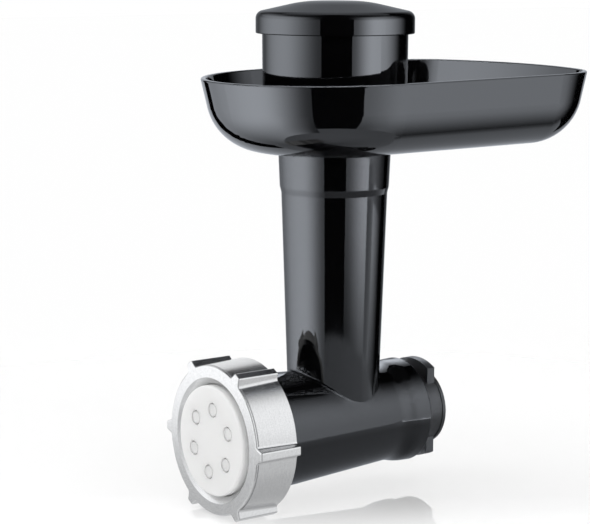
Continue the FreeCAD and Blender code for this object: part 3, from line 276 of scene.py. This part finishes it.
mouldedWhite = {
    "dark": (0.80, 0.80, 0.795),
    "light": (0.87, 0.87, 0.865),
    "grainScale": 1500,
    "grainDepth": 0.00002,
    "rough": 0.38,
    "glowThrough": 0.8,     # so narrow slots stay pale
}

augerGrey = {
    "dark": (0.62, 0.62, 0.61),
    "light": (0.73, 0.73, 0.72),
    "grainScale": 1200,
    "grainDepth": 0.00003,
    "rough": 0.36,
    "glowThrough": 0.0,
}

sealRubber = {
    "dark": (0.022, 0.022, 0.022),
    "light": (0.036, 0.036, 0.036),
    "grainScale": 3000,
    "grainDepth": 0.00004,
    "rough": 0.6,
    "glowThrough": 0.0,
}


def mouldedFinish(name, want):
    skin = mouldedSkin
    material, board = newFinish(name)
    place = objectPlace(board)
    cloud = noise(board, place, skin["cloudScale"], skin["cloudDetail"])
    grain = noise(board, place, want["grainScale"], skin["grainDetail"])
    closeFinish(board, {
        "Base Color": tint(board, cloud, want["dark"], want["light"]),
        "Roughness": want["rough"] + skin["roughCloud"] * cloud,
        "Subsurface Weight": want["glowThrough"],
        "Subsurface Radius": (1.0, 1.0, 1.0),
        "Subsurface Scale": skin["glowDepth"],
        "Normal": bump(board, grain, skin["grainStrength"], want["grainDepth"]),
    })
    return material


turnedSteel = {
    "dark": (0.52, 0.52, 0.515),
    "light": (0.68, 0.68, 0.67),
    "lines": 3000,
    "rough": 0.2,
}

turnedBronze = {
    "dark": (0.50, 0.34, 0.15),
    "light": (0.66, 0.47, 0.24),
    "lines": 3000,
    "rough": 0.26,
}


def turnedFinish(name, want):
    tool = latheLines
    material, board = newFinish(name)
    turned = turnedPlace(board, want["lines"], tool["streak"])
    lines = noise(board, turned, 1.0, tool["detail"], tool["rough"])
    closeFinish(board, {
        "Base Color": tint(board, lines, want["dark"], want["light"]),
        "Metallic": 1.0,
        "Roughness": want["rough"] + tool["roughLines"] * lines,
        "Normal": bump(board, lines, tool["strength"], tool["depth"]),
    })
    return material


finishes = {
    "black_gloss": glossBlackFinish(),
    "coupling_black": satinBlackFinish(),
    "ring_aluminium": satinAluminiumFinish(),
    "die_white": mouldedFinish("whiteDiePlastic", mouldedWhite),
    "auger_plastic": mouldedFinish("greyAugerPlastic", augerGrey),
    "bright_steel": turnedFinish("turnedSteel", turnedSteel),
    "bush_bronze": turnedFinish("turnedBronze", turnedBronze),
    "seal_rubber": mouldedFinish("sealRubber", sealRubber),
}

for part in frame["record"]["subparts"]:
    node = cadNodes[part["node"]]
    for holder in node.material_slots:
        holder.material = finishes[part["material_slot"]]
print("finishes on the CAD nodes")

studio = {
    "middle": (0.0, -0.055),
    "floorLevel": -0.0349,
    "aimLevel": 0.06,
    "floorReach": 6.0,
    "air": 0.5,         # even light on every surface
}


def stageMesh(name, points, faces, material):
    mesh = bpy.data.meshes.new(name)
    mesh.from_pydata(points, [], faces)
    mesh.materials.append(material)
    thing = bpy.data.objects.new(name, mesh)
    scene.collection.objects.link(thing)
    return thing


def onlyReflected(card):
    card.visible_camera = False
    card.visible_diffuse = False
    card.visible_shadow = False
    card.visible_transmission = False


paleFloor = {
    "dark": (0.93, 0.93, 0.93),
    "light": (0.96, 0.96, 0.96),
    "cloudScale": 6,
    "cloudDetail": 2.0,
    "rough": 0.6,
    "roughCloud": 0.1,
    "shade": 0.3,           # share of the floor that takes the lamps' light and the shadow
    "glow": 1.13,           # brightness of the rest, so that both together are white
    "mirror": 0.6,          # share of the rest that mirrors, under the object and at the front
    "mirrorEnd": 0.1,
    "mirrorFrom": 0.0,      # metres towards the camera, between which that share falls
    "mirrorTo": 0.075,
    "mirrorRough": 0.03,
    "whiteFrom": 0.16,      # away from the object the floor runs into the white behind it
    "whiteTo": 0.5,
}


def smoothRange(board, value, start, end, first, last):
    values = {"Value": value, "From Min": start, "From Max": end, "To Min": first, "To Max": last}
    return board.add("ShaderNodeMapRange", {"interpolation_type": "SMOOTHSTEP"}, values)


def lightPath(board, kind):
    return board.add("ShaderNodeLightPath", None, None, out=kind)


def makeFloor():
    want = paleFloor
    material, board = newFinish("paleFloor")
    place = objectPlace(board)
    cloud = noise(board, place, want["cloudScale"], want["cloudDetail"])
    surface = board.add("ShaderNodeBsdfPrincipled", None, {
        "Base Color": tint(board, cloud, want["dark"], want["light"]),
        "Roughness": want["rough"] + want["roughCloud"] * cloud,
    })
    around = radians(shot["around"])
    towards = (sin(around), -cos(around), 0)
    dot = {"operation": "DOT_PRODUCT"}
    ahead = board.add("ShaderNodeVectorMath", dot, {0: place, 1: towards}, out="Value")
    fade = smoothRange(board, ahead, want["mirrorFrom"], want["mirrorTo"], want["mirror"], want["mirrorEnd"])
    white = board.add("ShaderNodeEmission", None, {"Strength": want["glow"]})
    mirror = board.add("ShaderNodeBsdfGlossy", None, {"Roughness": want["mirrorRough"]})
    polish = board.add("ShaderNodeMixShader", None, {0: fade, 1: white, 2: mirror})
    reach = board.add("ShaderNodeVectorMath", {"operation": "LENGTH"}, {0: place}, out="Value")
    away = smoothRange(board, reach, want["whiteFrom"], want["whiteTo"], 1.0 - want["shade"], 1.0)
    seen = lightPath(board, "Is Camera Ray")
    both = board.add("ShaderNodeMixShader", None, {0: away * seen, 1: surface, 2: polish})
    board.add("ShaderNodeOutputMaterial", None, {"Surface": both})
    wide = studio["floorReach"]
    corners = [(-wide, -wide, 0), (wide, -wide, 0), (wide, wide, 0), (-wide, wide, 0)]
    floor = stageMesh("floor", corners, [(0, 1, 2, 3)], material)
    floor.location = (studio["middle"][0], studio["middle"][1], studio["floorLevel"])
    floor.visible_glossy = False    # gloss sees the surrounds instead
    return floor


def glowFinish(name, tone):
    material, board = newFinish(name)
    glow = board.add("ShaderNodeAttribute", {"attribute_name": "glow"}, None, out="Fac")
    shine = board.add("ShaderNodeVectorMath", {"operation": "SCALE"}, {0: tone, "Scale": glow})
    lamp = board.add("ShaderNodeEmission", None, {"Color": shine, "Strength": 1.0})
    clear = board.add("ShaderNodeBsdfTransparent")
    both = board.add("ShaderNodeAddShader", None, {0: lamp, 1: clear})
    board.add("ShaderNodeOutputMaterial", None, {"Surface": both})
    return material


def gridFaces(wide, high):
    faces = []
    for row in range(high - 1):
        for column in range(wide - 1):
            corner = row * wide + column
            faces.append((corner, corner + 1, corner + 1 + wide, corner + wide))
    return faces


def glowMesh(name, points, glows, wide, tone):
    card = stageMesh(name, points, gridFaces(wide, len(points) // wide), glowFinish(name, tone))
    card.data.attributes.new("glow", "FLOAT", "POINT").data.foreach_set("value", glows)
    onlyReflected(card)
    return card


# What the gloss of each piece sees round it: soft boxes and the floor, each in front of those above it in the
# list. A box holds turns, glows, heights and fades. Turns are degrees from the camera, right positive, and
# heights are degrees up, each as near edge, middle and far edge. Glows and fades are how bright it is there.
coolWhite = (0.94, 0.995, 1.085)
allRound = (-180, 0, 180)

surrounds = [
    {
        "name": "traySurround",
        "nodes": ("feed_tray",),
        "reach": 5.6,
        "level": 0.15,
        "tone": coolWhite,
        "boxes": {
            "floor": (allRound, (0.5, 0.95, 0.5), (-90, -70, -55), (0.8, 1, 1)),
            "back": ((145, 180, 206), (0.6, 0.7, 0.8), (-55, 0, 40), (1, 1, 1)),
            "left": ((-142, -70, -22), (1.1, 6.1, 0.5), (-64, -25, 40), (0.45, 1, 0.7)),
            "right": ((26, 62, 118), (2.1, 3.3, 0), (-56, -22, 40), (0.4, 1, 0.8)),
            "lowRight": ((106, 122, 170), (0.3, 0.8, 0.6), (-58, -52, -38), (1, 1, 1)),
            "top": (allRound, (2.5, 5, 2.5), (48, 68, 90), (0.6, 1, 1)),
        },
    },
    {
        "name": "pusherSurround",
        "nodes": ("pusher_body", "pusher_cap"),
        "reach": 5.2,
        "level": 0.15,
        "tone": coolWhite,
        "boxes": {
            "floor": (allRound, (0.6, 0.6, 0.6), (-90, -60, -35), (1, 1, 0.3)),
            "back": ((143, 180, 210), (0, 0.3, 0.2), (-40, 0, 46), (1, 1, 1)),
            "left": ((-150, -80, -22.5), (0.2, 4.4, 0.6), (-40, 0, 16), (0.4, 1, 0.85)),
            "right": ((25.5, 59, 122), (1.2, 6.2, 0), (-40, 0, 16), (0.4, 1, 0.7)),
            "leftAbove": ((-160, -78, -22), (0.05, 3.6, 0.1), (16, 23, 50), (1, 1, 0.2)),
            "rightAbove": ((22, 62, 118), (0.2, 3.4, 0.05), (16, 23, 50), (1, 1, 0.2)),
            "top": ((40, 180, 320), (0.1, 0.8, 0.1), (46, 72, 90), (0.6, 1, 0.7)),
        },
    },
    {
        "name": "barrelSurround",
        "nodes": ("press_housing", "bayonet_coupling", "coupling_gasket", "shaft_seal"),
        "reach": 6.0,
        "level": 0.06,
        "tone": coolWhite,
        "boxes": {
            "floor": ((-108, 72, 252), (0.3, 0.48, 0.3), (-90, -24, -15.1), (0.4, 1, 1.9)),
            "back": ((143, 180, 210), (0.1, 0.35, 0.35), (-15.1, 0, 14), (1, 1, 1)),
            "left": ((-150, -69, -22.3), (0.5, 5.5, 0.95), (-65, -8, 74), (0.15, 1, 0.03)),
            "strip": ((23.1, 70, 124), (1, 5, 0), (-15.1, -10, -9.4), (0.3, 1, 1)),
            "flag": ((78, 84, 93), (1.2, 0.9, 1.6), (-14.8, -11, -9.4), (1, 1, 1)),
            "right": ((23.1, 64, 124), (1, 2.9, 0.1), (-9.4, 26, 72), (0.75, 1, 0.02)),
            "rear": ((158, 180, 198), (0.8, 2.8, 0.8), (12, 28, 47), (0.5, 1, 0.5)),
        },
    },
    {
        "name": "ringSurround",
        "nodes": ("ring_nut", "pasta_die", "die_core_plate", "auger", "drive_shaft", "drive_pin", "nose_pin",
                  "coupling_screws", "rear_bush", "thrust_washer"),
        "reach": 0.35,      # near, so that the flat face shades off across its width
        "level": 0.0,
        "tone": (0.99, 0.998, 1.01),
        "boxes": {
            "floor": ((-90, 90, 270), (0.7, 0.5, 0.7), (-90, -50, -35), (0.85, 1, 1.2)),
            "walls": (allRound, (0.95, 0.95, 0.95), (-35, 10, 44.5), (0.6, 1, 0.95)),
            "front": ((-50, 0, 50), (0.9, 0.3, 0.9), (-35, 0, 66), (0.7, 1, 1)),
            "rightWall": ((42, 68, 140), (0.95, 1.1, 0.95), (-20, 20, 44.5), (0.75, 1, 1)),
            "leftLow": ((-150, -100, -65), (0.6, 0.5, 0.7), (-35, -20, -12), (1, 1, 1.2)),
            "leftWall": ((-150, -94, -50), (0.6, 1.4, 1.1), (-12, -2, 44.5), (0.8, 1, 0.8)),
            "leftAbove": ((-150, -60, -20), (0.3, 1.25, 0.3), (44.5, 52, 82), (1, 1, 0.4)),
            "rightAbove": ((20, 65, 125), (0.4, 1.05, 0.3), (44.5, 48, 65), (1, 1, 0.5)),
        },
    },
    {
        "name": "floorSurround",
        "nodes": (),
        "reach": 9.5,
        "level": 0.06,
        "tone": (1.0, 1.0, 1.0),
        "boxes": {
            "white": (allRound, (paleFloor["glow"],) * 3, (-90, 0, 90), (1, 1, 1)),
        },
    },
]


def lobe(value, places, levels):    # smooth from either edge to the middle
    low, hot, high = places
    side = levels[0] if value < hot else levels[2]
    share = (value - low) / (hot - low) if value < hot else (high - value) / (high - hot)
    return side + (levels[1] - side) * share * share * (3 - 2 * share)


def glowAt(boxes, turn, height):
    glow = 0.0
    for turns, glows, heights, fades in boxes.values():
        for place in (turn, turn + 360):
            if turns[0] <= place <= turns[2] and heights[0] <= height <= heights[2]:
                glow = lobe(place, turns, glows) * lobe(height, heights, fades)
    return glow


def gridLines(edges, end, step=3, sharp=0.1):   # degrees, with a line on each side of an edge
    lines = {float(line) for line in range(-end, end + 1, step)}
    for edge in edges:
        place = edge - 360 if edge > end else edge
        lines |= {max(-end, place - sharp), min(end, place + sharp)}
    return sorted(lines)


def makeSurround(want, floor):
    boxes = want["boxes"].values()
    turns = gridLines([edge for box in boxes for edge in box[0]], 180)
    heights = gridLines([edge for box in boxes for edge in box[2]], 90)
    middle = Vector((*studio["middle"], want["level"]))
    points = []
    glows = []
    for height in heights:
        for turn in turns:
            angle = radians(shot["around"] - 90 + turn)     # from the X axis
            rise = radians(height)
            out = Vector((cos(angle) * cos(rise), sin(angle) * cos(rise), sin(rise)))
            points.append(middle + want["reach"] * out)
            glows.append(glowAt(want["boxes"], turn, height))
    shell = glowMesh(want["name"], points, glows, len(turns), want["tone"])
    lit = bpy.data.collections.new(want["name"] + "Lit")
    for name in want["nodes"]:
        lit.objects.link(cadNodes[name])
    if not want["nodes"]:
        lit.objects.link(floor)
    shell.light_linking.receiver_collection = lit


def makeWorld():
    world = bpy.data.worlds.new("studioAir")
    world.use_nodes = True
    scene.world = world
    board = Board(world.node_tree)
    seen = lightPath(board, "Is Camera Ray")
    glossy = lightPath(board, "Is Glossy Ray")
    through = lightPath(board, "Is Transmission Ray")
    shown = board.add("ShaderNodeMath", {"operation": "MAXIMUM"}, {0: seen, 1: through})
    strength = (studio["air"] + (1 - studio["air"]) * shown) * (1 - glossy)
    sky = board.add("ShaderNodeBackground", None, {"Color": (1, 1, 1, 1), "Strength": strength})
    board.add("ShaderNodeOutputWorld", None, {"Surface": sky})


lamps = [
    {"name": "keyLamp", "place": (-0.9, -1.3, 1.3), "size": 1.2, "power": 14},
    {"name": "fillLamp", "place": (1.5, 0.2, 1.1), "size": 1.2, "power": 9},
    {"name": "topLamp", "place": (0.0, -0.1, 1.7), "size": 1.4, "power": 10},
]


def makeLamps():
    aim = Vector((*studio["middle"], studio["aimLevel"]))
    for want in lamps:
        data = bpy.data.lights.new(want["name"], "AREA")
        data.size = want["size"]
        data.energy = want["power"]
        lamp = bpy.data.objects.new(want["name"], data)
        lamp.location = want["place"]
        towards = aim - Vector(want["place"])
        lamp.rotation_euler = towards.to_track_quat("-Z", "Y").to_euler()
        lamp.visible_glossy = False
        scene.collection.objects.link(lamp)


floor = makeFloor()
for surround in surrounds:
    makeSurround(surround, floor)
makeWorld()
makeLamps()
print("studio lit")
